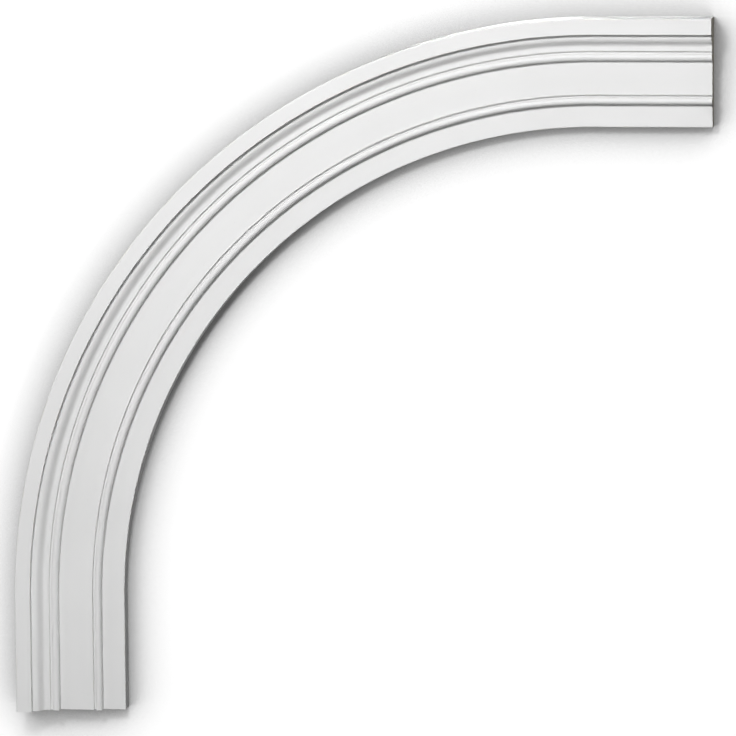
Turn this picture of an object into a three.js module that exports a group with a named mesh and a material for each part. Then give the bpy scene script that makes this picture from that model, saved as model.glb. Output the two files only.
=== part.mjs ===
// Arched window surround: one half of a round-headed casing, cast as a single rigid moulding.
// Millimetres, +Z up. The back lies in the plane y = 0 and the face looks towards -Y. A short leg
// rises on the left, a quarter arc follows it, and a short level run at the crown ends the piece on
// the right. The origin is on the back, at the middle of the casing's width, half way round the arc.

import * as THREE from "three";
import { mergeVertices } from "three/addons/utils/BufferGeometryUtils.js";

// The run of the casing.
const openingRadius = 530; // of the window opening, at the casing's inner edge
const legLength = 129.5; // straight stretch below the springing of the arc
const crownLength = 129.5; // straight stretch past the top of the arc

// Widths of the members, from the opening outwards.
const innerFasciaWidth = 25.6;
const innerBeadRadius = 3.65;
const innerQuirkWidth = 2.7;
const mainFasciaWidth = 37.95;
const outerBeadRadius = 3.85;
const outerQuirkWidth = 2.65;
const ogeeFootWidth = 4.3; // flat strip between the quirk and the ogee
const ogeeHollowWidth = 5;
const ogeeRoundWidth = 6.5;
const filletWidth = 2.9;
const backBandWidth = 17.4;

// Heights, each one a step from the member before it.
const innerFasciaThickness = 20; // from the back to the inner fascia
const innerBeadLift = 5.5; // upright side below the half round of the inner bead
const mainFasciaStep = 6; // the main fascia stands this much prouder than the inner one
const innerQuirkDepth = 4.2; // groove between the main fascia and the inner bead
const outerBeadLift = 4.8; // upright side below the half round of the outer bead
const ogeeFootStep = 7; // the ogee's foot stands this much prouder than the main fascia
const outerQuirkDepth = 3.4; // groove between the ogee's foot and the outer bead
const ogeeRise = 8;
const backBandStep = 7; // the back band stands this much prouder than the top of the ogee

// Softened edges, as the mould leaves them.
const openingArris = 1;
const outerArris = 1.5;

// How finely the curves are cut.
const arcSteps = 54; // chords along the quarter arc
const curveSteps = 6; // chords along the ogee and each arris, and half the chords round a bead

const casingWidth =
  innerFasciaWidth +
  2 * innerBeadRadius +
  innerQuirkWidth +
  mainFasciaWidth +
  2 * outerBeadRadius +
  outerQuirkWidth +
  ogeeFootWidth +
  ogeeHollowWidth +
  ogeeRoundWidth +
  filletWidth +
  backBandWidth;
const quarterTurn = Math.PI / 2;

// The section: x runs outwards from the opening's edge, and y stands proud of the wall.
function casingSection() {
  const mainFascia = innerFasciaThickness + mainFasciaStep;
  const ogeeFoot = mainFascia + ogeeFootStep;
  const ogeeTop = ogeeFoot + ogeeRise;
  const bandFace = ogeeTop + backBandStep;
  const section = new THREE.Shape();
  let x = 0;

  // The opening's edge and the inner fascia.
  section.moveTo(x, 0);
  section.lineTo(x, innerFasciaThickness - openingArris);
  section.quadraticCurveTo(x, innerFasciaThickness, openingArris, innerFasciaThickness);
  x += innerFasciaWidth;
  section.lineTo(x, innerFasciaThickness);

  // The inner bead, with a quirk on its far side.
  const innerSpring = innerFasciaThickness + innerBeadLift;
  section.lineTo(x, innerSpring);
  section.absarc(x + innerBeadRadius, innerSpring, innerBeadRadius, Math.PI, 0, true);
  x += 2 * innerBeadRadius;
  section.lineTo(x, mainFascia - innerQuirkDepth);
  x += innerQuirkWidth;
  section.lineTo(x, mainFascia - innerQuirkDepth);
  section.lineTo(x, mainFascia);

  // The main fascia and the outer bead, again with a quirk on its far side.
  x += mainFasciaWidth;
  section.lineTo(x, mainFascia);
  const outerSpring = mainFascia + outerBeadLift;
  section.lineTo(x, outerSpring);
  section.absarc(x + outerBeadRadius, outerSpring, outerBeadRadius, Math.PI, 0, true);
  x += 2 * outerBeadRadius;
  section.lineTo(x, ogeeFoot - outerQuirkDepth);
  x += outerQuirkWidth;
  section.lineTo(x, ogeeFoot - outerQuirkDepth);
  section.lineTo(x, ogeeFoot);

  // The ogee, hollow at its foot and round at its top, and the fillet beside the band.
  x += ogeeFootWidth;
  section.lineTo(x, ogeeFoot);
  const ogeeTurn = x + ogeeHollowWidth;
  x = ogeeTurn + ogeeRoundWidth;
  section.bezierCurveTo(ogeeTurn, ogeeFoot, ogeeTurn, ogeeTop, x, ogeeTop);
  x += filletWidth;
  section.lineTo(x, ogeeTop);

  // The back band and the outer edge.
  section.lineTo(x, bandFace);
  section.lineTo(casingWidth - outerArris, bandFace);
  section.quadraticCurveTo(casingWidth, bandFace, casingWidth, bandFace - outerArris);
  section.lineTo(casingWidth, 0);
  return section;
}

// A casing round the arc's centre. It is extruded along stations a unit apart, and each station is
// then set in its place: the foot of the leg, the ends of the chords round the arc, and the far end
// of the run at the crown.
function bentCasing() {
  const lastStation = arcSteps + 2;
  const geometry = new THREE.ExtrudeGeometry(casingSection(), {
    depth: lastStation,
    steps: lastStation,
    curveSegments: curveSteps,
    bevelEnabled: false,
  });
  const position = geometry.getAttribute("position");
  for (let i = 0; i < position.count; i += 1) {
    const station = Math.round(position.getZ(i));
    const radius = openingRadius + position.getX(i);
    const proud = position.getY(i);
    const turn = (THREE.MathUtils.clamp(station - 1, 0, arcSteps) / arcSteps) * quarterTurn;
    let along = 0;
    if (station === 0) along = -legLength;
    if (station === lastStation) along = crownLength;
    position.setXYZ(
      i,
      along * Math.sin(turn) - radius * Math.cos(turn),
      -proud,
      along * Math.cos(turn) + radius * Math.sin(turn),
    );
  }
  geometry.deleteAttribute("uv");
  geometry.deleteAttribute("normal");
  const closed = mergeVertices(geometry);
  closed.computeVertexNormals();
  return closed;
}

const whitePrimer = new THREE.MeshStandardMaterial({
  color: 0xf1f1ef,
  roughness: 0.55,
  metalness: 0,
  flatShading: true,
});

const casing = new THREE.Mesh(bentCasing(), whitePrimer);
casing.name = "arch_casing";

// The middle of the casing's width, half way round the arc, comes to the origin.
const toMiddle = (openingRadius + casingWidth / 2) * Math.SQRT1_2;
casing.position.set(toMiddle, 0, -toMiddle);

const surround = new THREE.Group();
surround.add(casing);

export default surround;
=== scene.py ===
"""Arched window surround: the finished look of a quarter-arch casing, cast in one and primed white."""

import math

import bmesh
import bpy
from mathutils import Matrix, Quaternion, Vector
from mathutils.geometry import tessellate_polygon


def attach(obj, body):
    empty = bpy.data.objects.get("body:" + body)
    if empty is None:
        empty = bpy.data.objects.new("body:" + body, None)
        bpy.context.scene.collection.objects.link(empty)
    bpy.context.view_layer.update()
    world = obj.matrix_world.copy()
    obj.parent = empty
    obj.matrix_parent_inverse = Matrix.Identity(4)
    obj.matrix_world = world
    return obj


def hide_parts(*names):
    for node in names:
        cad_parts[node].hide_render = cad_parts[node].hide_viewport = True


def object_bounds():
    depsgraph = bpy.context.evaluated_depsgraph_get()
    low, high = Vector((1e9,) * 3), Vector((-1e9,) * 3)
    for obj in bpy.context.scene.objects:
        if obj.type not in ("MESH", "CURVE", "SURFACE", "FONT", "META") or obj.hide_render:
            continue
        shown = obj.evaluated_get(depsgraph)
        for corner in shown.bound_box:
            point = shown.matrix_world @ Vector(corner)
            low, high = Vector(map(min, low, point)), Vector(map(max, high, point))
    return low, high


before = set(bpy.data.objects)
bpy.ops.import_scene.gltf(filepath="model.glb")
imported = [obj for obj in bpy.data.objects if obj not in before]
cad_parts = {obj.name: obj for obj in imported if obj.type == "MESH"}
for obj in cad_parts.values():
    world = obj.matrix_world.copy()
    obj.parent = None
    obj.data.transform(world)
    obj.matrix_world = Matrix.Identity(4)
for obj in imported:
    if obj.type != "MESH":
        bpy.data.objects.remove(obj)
cad_low, cad_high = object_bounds()

MM = 0.001

# The casing's own sizes, in millimetres, from the opening outwards and from the wall forwards.
LEG_LENGTH = 129.5
CROWN_LENGTH = 129.5
INNER_FASCIA_WIDTH = 25.6
INNER_BEAD_RADIUS = 3.65
INNER_QUIRK_WIDTH = 2.7
MAIN_FASCIA_WIDTH = 37.95
OUTER_BEAD_RADIUS = 3.85
OUTER_QUIRK_WIDTH = 2.65
OGEE_FOOT_WIDTH = 4.3
OGEE_HOLLOW_WIDTH = 5
OGEE_ROUND_WIDTH = 6.5
FILLET_WIDTH = 2.9
BACK_BAND_WIDTH = 17.4

INNER_FASCIA_THICKNESS = 20
INNER_BEAD_LIFT = 5.5
MAIN_FASCIA_STEP = 6
INNER_QUIRK_DEPTH = 4.2
OUTER_BEAD_LIFT = 4.8
OGEE_FOOT_STEP = 7
OUTER_QUIRK_DEPTH = 3.4
OGEE_RISE = 8
BACK_BAND_STEP = 7

# How round the mould leaves each kind of edge.
OPENING_ARRIS = 1
OUTER_ARRIS = 1.5
FINE_ARRIS = 0.5
HOLLOW_CORNER = 0.35
BACK_ARRIS = 0.3

# How finely the run is cut: round the quarter arc, and along each straight.
ARC_STEPS = 180
STRAIGHT_STEPS = 12

# A round takes no more than this share of either side of its corner, and the points that keep the
# flats beside it flat when shaded stand this many times as far from the corner as the round's ends.
ROUND_SHARE = 0.3
FLAT_KEEPER = 1.5

# The arc's centre, on the wall, and the radius of the casing's outer edge.
ARC_CENTRE = Vector((cad_high.x - CROWN_LENGTH * MM, cad_high.y, cad_low.z + LEG_LENGTH * MM))
OUTER_RADIUS = ARC_CENTRE.x - cad_low.x


def on_the_run(turn, along, radius, proud=0):
    """A place at that radius, that turn round the arc or distance past its end, proud of the wall."""
    return ARC_CENTRE + Vector((
        along * math.sin(turn) - radius * math.cos(turn),
        -proud,
        along * math.cos(turn) + radius * math.sin(turn),
    ))


def softened(corners, chords=4):
    """The outline through (x, y, softness) corners, with a round of that radius at each soft one.

    Each of its points is (place, edge), where edge is 1 on an arris, -1 in a hollow corner and 0
    elsewhere.
    """
    outline = []
    count = len(corners)
    for i, (x, y, softness) in enumerate(corners):
        here = Vector((x, y))
        if not softness:
            outline.append((here, 0))
            continue
        before = Vector(corners[i - 1][:2]) - here
        after = Vector(corners[(i + 1) % count][:2]) - here
        edge = 1 if before.cross(after) > 0 else -1
        half_turn = before.angle(after) / 2
        longest = min(before.length, after.length) * ROUND_SHARE
        reach = min(softness / math.tan(half_turn), longest)
        start = before.normalized() * reach
        end = after.normalized() * reach
        outline.append((here + start * FLAT_KEEPER, 0))
        for k in range(chords + 1):
            t = k / chords
            outline.append((here + (1 - t) ** 2 * start + t * t * end, edge))
        outline.append((here + end * FLAT_KEEPER, 0))
    return outline


def half_round(x, spring, radius, chords=20):
    """A bead's round from its near side at x over the top to its far side."""
    points = []
    for k in range(chords + 1):
        turn = math.pi * k / chords
        points.append((x + radius - radius * math.cos(turn), spring + radius * math.sin(turn), 0))
    return points


def ogee(x, foot, hollow, round_top, rise, chords=18):
    """The S curve from the ogee's hollow foot to its round top, level at both ends."""
    points = []
    for k in range(chords + 1):
        t = k / chords
        along = 3 * hollow * t * (1 - t) + (hollow + round_top) * t ** 3
        points.append((x + along, foot + rise * (3 - 2 * t) * t * t, 0))
    return points


def casing_section():
    """The section's outline in millimetres: x outwards from the opening, y forwards from the wall."""
    main_fascia = INNER_FASCIA_THICKNESS + MAIN_FASCIA_STEP
    ogee_foot = main_fascia + OGEE_FOOT_STEP
    ogee_top = ogee_foot + OGEE_RISE
    band_face = ogee_top + BACK_BAND_STEP
    corners = [(0, 0, BACK_ARRIS), (0, INNER_FASCIA_THICKNESS, OPENING_ARRIS)]

    x = INNER_FASCIA_WIDTH
    corners.append((x, INNER_FASCIA_THICKNESS, HOLLOW_CORNER))
    corners += half_round(x, INNER_FASCIA_THICKNESS + INNER_BEAD_LIFT, INNER_BEAD_RADIUS)
    x += 2 * INNER_BEAD_RADIUS
    corners.append((x, main_fascia - INNER_QUIRK_DEPTH, HOLLOW_CORNER))
    x += INNER_QUIRK_WIDTH
    corners.append((x, main_fascia - INNER_QUIRK_DEPTH, HOLLOW_CORNER))
    corners.append((x, main_fascia, FINE_ARRIS))

    x += MAIN_FASCIA_WIDTH
    corners.append((x, main_fascia, HOLLOW_CORNER))
    corners += half_round(x, main_fascia + OUTER_BEAD_LIFT, OUTER_BEAD_RADIUS)
    x += 2 * OUTER_BEAD_RADIUS
    corners.append((x, ogee_foot - OUTER_QUIRK_DEPTH, HOLLOW_CORNER))
    x += OUTER_QUIRK_WIDTH
    corners.append((x, ogee_foot - OUTER_QUIRK_DEPTH, HOLLOW_CORNER))
    corners.append((x, ogee_foot, FINE_ARRIS))

    x += OGEE_FOOT_WIDTH
    corners += ogee(x, ogee_foot, OGEE_HOLLOW_WIDTH, OGEE_ROUND_WIDTH, OGEE_RISE)
    x += OGEE_HOLLOW_WIDTH + OGEE_ROUND_WIDTH + FILLET_WIDTH
    corners.append((x, ogee_top, HOLLOW_CORNER))
    corners.append((x, band_face, FINE_ARRIS))
    x += BACK_BAND_WIDTH
    corners.append((x, band_face, OUTER_ARRIS))
    corners.append((x, 0, BACK_ARRIS))
    return softened(corners)


def run_stations():
    """(turn in radians, distance along the straight) of each cross-section, from the leg's foot."""
    leg = [(0, -LEG_LENGTH * (1 - k / STRAIGHT_STEPS)) for k in range(STRAIGHT_STEPS)]
    arc = [(math.pi / 2 * k / ARC_STEPS, 0) for k in range(ARC_STEPS + 1)]
    crown = [(math.pi / 2, CROWN_LENGTH * (k + 1) / STRAIGHT_STEPS) for k in range(STRAIGHT_STEPS)]
    return leg + arc + crown


def cast_casing():
    """The casing as one closed mesh, laid along its run.

    Each point keeps how far it lies along the run and across the section, in metres, and its edge.
    """
    section = casing_section()
    width = max(p.x for p, edge in section)
    mesh = bmesh.new()
    run_mark = mesh.verts.layers.float.new("run")
    across_mark = mesh.verts.layers.float.new("across")
    edge_mark = mesh.verts.layers.float.new("edge")
    rings = []
    for turn, along in run_stations():
        ring = []
        across = 0
        last_place = section[0][0]
        for p, edge in section:
            radius = OUTER_RADIUS - (width - p.x) * MM
            vertex = mesh.verts.new(on_the_run(turn, along * MM, radius, p.y * MM))
            across += (p - last_place).length * MM
            last_place = p
            vertex[run_mark] = turn * OUTER_RADIUS + along * MM
            vertex[across_mark] = across
            vertex[edge_mark] = edge
            ring.append(vertex)
        rings.append(ring)
    for ring, following in zip(rings, rings[1:]):
        for i, vertex in enumerate(ring):
            nearby = (i + 1) % len(ring)
            mesh.faces.new((vertex, following[i], following[nearby], ring[nearby]))
    ends = [mesh.faces.new(rings[0]), mesh.faces.new(list(reversed(rings[-1])))]
    cut_faces = bmesh.ops.triangulate(mesh, faces=ends, ngon_method="EAR_CLIP")["faces"]
    bmesh.ops.recalc_face_normals(mesh, faces=mesh.faces)
    for face in mesh.faces:
        face.material_index = int(face.normal.y > 0.99)
    for face in cut_faces:
        face.material_index = 1
    data = bpy.data.meshes.new("arch_casing_moulding")
    mesh.to_mesh(data)
    mesh.free()
    piece = bpy.data.objects.new("arch_casing_moulding", data)
    bpy.context.scene.collection.objects.link(piece)
    return piece


def smooth_by_angle(piece, degrees=32):
    """Shades the piece smooth except across edges sharper than that."""
    piece.data.shade_smooth()
    piece.data.set_sharp_from_angle(angle=math.radians(degrees))


class Value:
    """The output of a shader node. Arithmetic on it adds Math nodes beside it."""

    def __init__(self, finish, socket):
        self.finish = finish
        self.socket = socket

    def maths(self, operation, first, second):
        return self.finish.add("ShaderNodeMath", {"operation": operation}, {0: first, 1: second})

    def __add__(self, other):
        return self.maths("ADD", self, other)

    __radd__ = __add__

    def __sub__(self, other):
        return self.maths("SUBTRACT", self, other)

    def __rsub__(self, other):
        return self.maths("SUBTRACT", other, self)

    def __mul__(self, other):
        return self.maths("MULTIPLY", self, other)

    __rmul__ = __mul__


class Finish:
    """A material, or the studio's surroundings, under construction on the shader it starts with."""

    def __init__(self, owner, shader="Principled BSDF"):
        owner.use_nodes = True
        self.owner = owner
        self.tree = owner.node_tree
        self.shader = self.tree.nodes[shader]

    def add(self, kind, settings, sockets, output=0):
        """Adds a node of that kind, with its settings made before its sockets are filled."""
        node = self.tree.nodes.new(kind)
        for setting, choice in settings.items():
            setattr(node, setting, choice)
        self.fill(node, sockets)
        return Value(self, node.outputs[output])

    def fill(self, node, sockets):
        """Links or sets each named socket of the node."""
        for name, source in sockets.items():
            if isinstance(source, Value):
                self.tree.links.new(source.socket, node.inputs[name])
            else:
                node.inputs[name].default_value = source

    def place(self):
        """Where a point lies on the object, in metres."""
        return self.add("ShaderNodeTexCoord", {}, {}, "Object")

    def mark(self, name):
        """A number that the mesh code left on each point."""
        return self.add("ShaderNodeAttribute", {"attribute_name": name}, {}, "Fac")

    def noise(self, place, scale, detail=2):
        """Even, cloudy noise from 0 to 1, of about `scale` lumps to the metre."""
        return self.add("ShaderNodeTexNoise", {}, {"Vector": place, "Scale": scale, "Detail": detail})

    def cells(self, place, scale):
        """How far a point lies from the middle of its cell, with about `scale` cells to the metre."""
        sockets = {"Vector": place, "Scale": scale}
        return self.add("ShaderNodeTexVoronoi", {"feature": "F1"}, sockets, "Distance")

    def step(self, amount, low, high):
        """0 below low and 1 above high, with a smooth rise between them."""
        settings = {"interpolation_type": "SMOOTHSTEP"}
        sockets = {"Value": amount, "From Min": low, "From Max": high}
        return self.add("ShaderNodeMapRange", settings, sockets)

    def blend(self, share, first, second):
        """The first colour where share is 0 and the second where it is 1."""
        settings = {"data_type": "RGBA"}
        return self.add("ShaderNodeMix", settings, {"Factor": share, 6: first, 7: second}, 2)

    def relief(self, height):
        """The normal of a surface whose height, in millimetres, is given."""
        return self.add("ShaderNodeBump", {}, {"Height": height, "Distance": MM, "Strength": 1})


# Colours, each as red, green, blue and opacity.
WHITE = (1, 1, 1, 1)
BLACK = (0, 0, 0, 1)
PRIMER_WHITE = (0.803, 0.803, 0.801, 1)
PRIMER_DULL = (0.782, 0.782, 0.779, 1)
PRIMER_THIN = (0.7, 0.67, 0.58, 1)
# The darker colour of the hollow corners: painted shade, with some dust.
DUST_AND_SHADE = (0.52, 0.51, 0.48, 1)
PINHOLE = (0.5, 0.49, 0.46, 1)
FOAM_LIGHT = (0.76, 0.73, 0.64, 1)
FOAM_DARK = (0.69, 0.65, 0.55, 1)
BLADE_MARK = (0.86, 0.84, 0.77, 1)
OPEN_BUBBLE = (0.46, 0.42, 0.33, 1)


def white_primer():
    """Sprayed white primer over a smooth casting.

    It is matt, with faint peel, lines of the drag along the run, a slow change of tone and the odd
    pinhole. It lies thin on the arrises, where the core tints it, and the hollow corners carry painted
    shade and dust, which leave them darker and rougher.
    """
    primer = Finish(bpy.data.materials.new("white_primer"))
    place = primer.place()
    cloud = primer.noise(place, 7, 3)
    peel = primer.noise(place, 620, 2)
    grain = primer.noise(place, 2600, 1)
    lengthwise = primer.add("ShaderNodeCombineXYZ", {}, {
        "X": primer.mark("run") * 5, "Y": primer.mark("across") * 900,
    })
    drag = primer.noise(lengthwise, 1, 3)
    pinhole = 1 - primer.step(primer.cells(place, 90), 0.02, 0.05)
    edge = primer.mark("edge")
    patches = primer.step(primer.noise(place, 45, 4), 0.45, 0.7)
    thin = primer.step(edge, 0.5, 1) * patches
    # Painted shade and dust in the hollow corners: darker in colour there, and rougher.
    dust_and_shade = primer.step(0 - edge, 0.1, 1) * (0.6 + cloud * 0.4)
    tone = primer.blend(primer.step(cloud, 0.35, 0.65), PRIMER_DULL, PRIMER_WHITE)
    tone = primer.blend(thin * 0.35, tone, PRIMER_THIN)
    tone = primer.blend(dust_and_shade * 0.25, tone, DUST_AND_SHADE)
    primer.fill(primer.shader, {
        "Base Color": primer.blend(pinhole * 0.25, tone, PINHOLE),
        "Roughness": 0.5 + (cloud - 0.5) * 0.12 + (peel - 0.5) * 0.08 + dust_and_shade * 0.2,
        "Normal": primer.relief(peel * 0.014 + grain * 0.004 + drag * 0.006 - pinhole * 0.12),
        "Specular IOR Level": 0.4,
    })
    return primer.owner


def bare_core():
    """The dense foam that shows on the sawn ends and the planed back.

    It is creamy, with fine cells, a few open bubbles and the slanting marks of the blade.
    """
    core = Finish(bpy.data.materials.new("bare_core"))
    place = core.place()
    cells = core.cells(place, 1400)
    bubble = 1 - core.step(core.cells(place, 260), 0.08, 0.2)
    cloud = core.noise(place, 60, 3)
    strokes = core.add("ShaderNodeTexWave", {"bands_direction": "DIAGONAL"}, {
        "Vector": place, "Scale": 190, "Distortion": 1.6, "Detail": 2, "Detail Scale": 0.4,
    }, "Fac")
    worn = core.step(core.noise(place, 18, 2), 0.35, 0.65)
    stroke = strokes * (0.3 + worn * 0.7)
    tone = core.blend(core.step(cloud, 0.3, 0.7), FOAM_DARK, FOAM_LIGHT)
    tone = core.blend(stroke * 0.12, tone, BLADE_MARK)
    core.fill(core.shader, {
        "Base Color": core.blend(bubble * 0.5, tone, OPEN_BUBBLE),
        "Roughness": 0.85 - cells * 0.1,
        "Normal": core.relief(cells * 0.12 + stroke * 0.08 - bubble * 0.3),
        "Specular IOR Level": 0.3,
    })
    return core.owner


casing = cast_casing()
smooth_by_angle(casing)
casing.data.materials.append(white_primer())
casing.data.materials.append(bare_core())
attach(casing, "root")
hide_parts("arch_casing")


# The studio, in metres. The wall stands just behind the casing's back.
WALL_PLACE = cad_high.y + 0.3 * MM
WALL_REACH = 6
ROOM_REACH = 11
ROOM_HEIGHT = 9
FLOOR_PLACE = cad_low.z - 0.9

# The tilt that makes the wall's painted shade deeper below and to the right of the casing, and how far
# off a piece still gets painted shade on the wall.
PAINTED_SHADE_TILT = (-0.098, -0.978, 0.186)
SHADE_REACH = 0.06
DEEPEST_SHADE = (0.04, 0.04, 0.04, 1)


def flat_sheet(name, corners, faces):
    """A plain flat sheet of the studio."""
    data = bpy.data.meshes.new(name)
    data.from_pydata(corners, [], faces)
    sheet = bpy.data.objects.new(name, data)
    bpy.context.scene.collection.objects.link(sheet)
    return sheet


def studio_wall_paint():
    """White paint that glows to a clean white, with a painted shade round whatever stands close to it.

    The painted shade comes from an occlusion node that darkens the glow, tilted so that it is deeper
    below and to the right. The paint is clear from behind, so the casing's back can be seen.
    """
    paint = Finish(bpy.data.materials.new("studio_wall_paint"))
    right, out, up = PAINTED_SHADE_TILT
    painted_shade_tilt = paint.add("ShaderNodeCombineXYZ", {}, {"X": right, "Y": out, "Z": up})
    free_of_painted_shade = paint.add("ShaderNodeAmbientOcclusion", {"samples": 4}, {
        "Distance": SHADE_REACH, "Normal": painted_shade_tilt,
    }, "AO")
    paint.fill(paint.shader, {
        "Base Color": (0.28, 0.28, 0.28, 1),
        "Roughness": 1,
        "Specular IOR Level": 0,
        # Painted shade: the glow darkens towards DEEPEST_SHADE where the casing stands close by.
        "Emission Color": paint.blend((free_of_painted_shade - 0.5) * 2.2, DEEPEST_SHADE, WHITE),
        "Emission Strength": 0.83,
    })
    clear = paint.add("ShaderNodeBsdfTransparent", {}, {})
    behind = paint.add("ShaderNodeNewGeometry", {}, {}, "Backfacing")
    front = Value(paint, paint.shader.outputs["BSDF"])
    either = paint.add("ShaderNodeMixShader", {}, {0: behind, 1: front, 2: clear})
    paint.fill(paint.tree.nodes["Material Output"], {"Surface": either})
    return paint.owner


def studio_floor_paint():
    """Pale floor paint, bright enough that the floor doesn't stand out from the walls."""
    paint = Finish(bpy.data.materials.new("studio_floor_paint"))
    paint.fill(paint.shader, {
        "Base Color": (0.8, 0.8, 0.79, 1),
        "Roughness": 0.8,
        "Emission Color": (1, 1, 0.99, 1),
        "Emission Strength": 0.45,
    })
    return paint.owner


def gap_behind_the_casing(margin=0.4):
    """The outline of the casing on the wall, drawn in by that margin in millimetres."""
    outer = OUTER_RADIUS - margin * MM
    inner = OUTER_RADIUS - (max(p.x for p, edge in casing_section()) - margin) * MM
    stops = [(turn, along * MM) for turn, along in run_stations()]
    stops[0] = (0, -(LEG_LENGTH - margin) * MM)
    stops[-1] = (math.pi / 2, (CROWN_LENGTH - margin) * MM)
    there = [on_the_run(turn, along, outer) for turn, along in stops]
    back = [on_the_run(turn, along, inner) for turn, along in reversed(stops)]
    return there + back


def studio_wall():
    """The wall, open behind the casing so that light from behind reaches the casing's back alone."""
    foot = [(-WALL_REACH, FLOOR_PLACE), (WALL_REACH, FLOOR_PLACE)]
    sides = foot + [(WALL_REACH, WALL_REACH), (-WALL_REACH, WALL_REACH)]
    gap = [(p.x, p.z) for p in gap_behind_the_casing()]
    points = sides + gap
    faces = []
    for face in tessellate_polygon([[Vector((*p, 0)) for p in sides], [Vector((*p, 0)) for p in gap]]):
        a, b, c = (Vector(points[i]) for i in face)
        faces.append(face if (b - a).cross(c - a) > 0 else face[::-1])
    return flat_sheet("studio_wall", [(x, WALL_PLACE, z) for x, z in points], faces)


def far_wall(name, start, end):
    """A wall of the room from start to end, each an (x, y) on the floor. It faces right of that way."""
    low = [(*start, FLOOR_PLACE), (*end, FLOOR_PLACE)]
    high = [(*end, ROOM_HEIGHT), (*start, ROOM_HEIGHT)]
    sheet = flat_sheet(name, low + high, [(0, 1, 2, 3)])
    sheet.visible_shadow = False
    return sheet


# The walls and the floor are a backdrop, and their glow doesn't light the casing.
wall_paint = studio_wall_paint()
for sheet in (
    studio_wall(),
    far_wall("studio_left", (-ROOM_REACH, -ROOM_REACH), (-ROOM_REACH, ROOM_REACH)),
    far_wall("studio_right", (ROOM_REACH, ROOM_REACH), (ROOM_REACH, -ROOM_REACH)),
    far_wall("studio_front", (ROOM_REACH, -ROOM_REACH), (-ROOM_REACH, -ROOM_REACH)),
):
    sheet.data.materials.append(wall_paint)
    sheet.visible_diffuse = False
    sheet.visible_glossy = False
floor = flat_sheet("studio_floor", [
    (-ROOM_REACH, -ROOM_REACH, FLOOR_PLACE),
    (ROOM_REACH, -ROOM_REACH, FLOOR_PLACE),
    (ROOM_REACH, ROOM_REACH, FLOOR_PLACE),
    (-ROOM_REACH, ROOM_REACH, FLOOR_PLACE),
], [(0, 1, 2, 3)])
floor.data.materials.append(studio_floor_paint())
floor.visible_diffuse = False

# The viewpoint of the photograph, the tilt of its picture in degrees and its lens in millimetres.
CAMERA_PLACE = ARC_CENTRE + Vector((0.4926, -5.4712, 0.9657))
CAMERA_AIM = ARC_CENTRE + Vector((-0.2549, 0, 0.2586))
CAMERA_ROLL = 0.38
CAMERA_LENS = 244.57


def set_camera():
    """The photograph's viewpoint: above and to the right, looking at the middle of the arc."""
    data = bpy.data.cameras.new("camera")
    data.lens = CAMERA_LENS
    data.sensor_width = 36
    data.clip_end = 100
    camera = bpy.data.objects.new("camera", data)
    bpy.context.scene.collection.objects.link(camera)
    camera.location = CAMERA_PLACE
    level = (CAMERA_AIM - CAMERA_PLACE).to_track_quat("-Z", "Y")
    camera.rotation_mode = "QUATERNION"
    camera.rotation_quaternion = level @ Quaternion((0, 0, 1), math.radians(-CAMERA_ROLL))
    bpy.context.scene.camera = camera


def soft_light(name, place, size, power):
    """A round soft light of that size in metres and power in watts, aimed at the casing."""
    data = bpy.data.lights.new(name, "AREA")
    data.shape = "DISK"
    data.size = size
    data.energy = power
    light = bpy.data.objects.new(name, data)
    bpy.context.scene.collection.objects.link(light)
    light.visible_camera = False
    light.location = place
    light.rotation_mode = "QUATERNION"
    light.rotation_quaternion = (Vector((0, 0, 0)) - light.location).to_track_quat("-Z", "Y")


def light_the_studio(strength):
    """Even white light from every side in front of the wall."""
    room = Finish(bpy.data.worlds.new("studio"), "Background")
    direction = room.add("ShaderNodeTexCoord", {}, {}, "Generated")
    depth = room.add("ShaderNodeSeparateXYZ", {}, {0: direction}, "Y")
    behind = room.step(depth, -0.05, 0.05)
    room.fill(room.shader, {
        "Color": room.blend(behind, WHITE, BLACK),
        "Strength": strength,
    })
    bpy.context.scene.world = room.owner


set_camera()
soft_light("key", (-0.18, -2.27, 1.04), 0.45, 40.5)
soft_light("top", (0.15, -1.7, 1.0), 0.3, 8.5)
soft_light("side", (-2.16, -1.25, 0), 0.45, 3.3)
soft_light("rim", (0.25, -0.12, 2.0), 0.3, 6.5)
soft_light("end", (1.05, -0.3, 0.2), 0.25, 0.25)
soft_light("back", (0.1, 2.4, 0.3), 0.6, 45)
light_the_studio(0.19)
bpy.context.scene.view_settings.view_transform = "Standard"
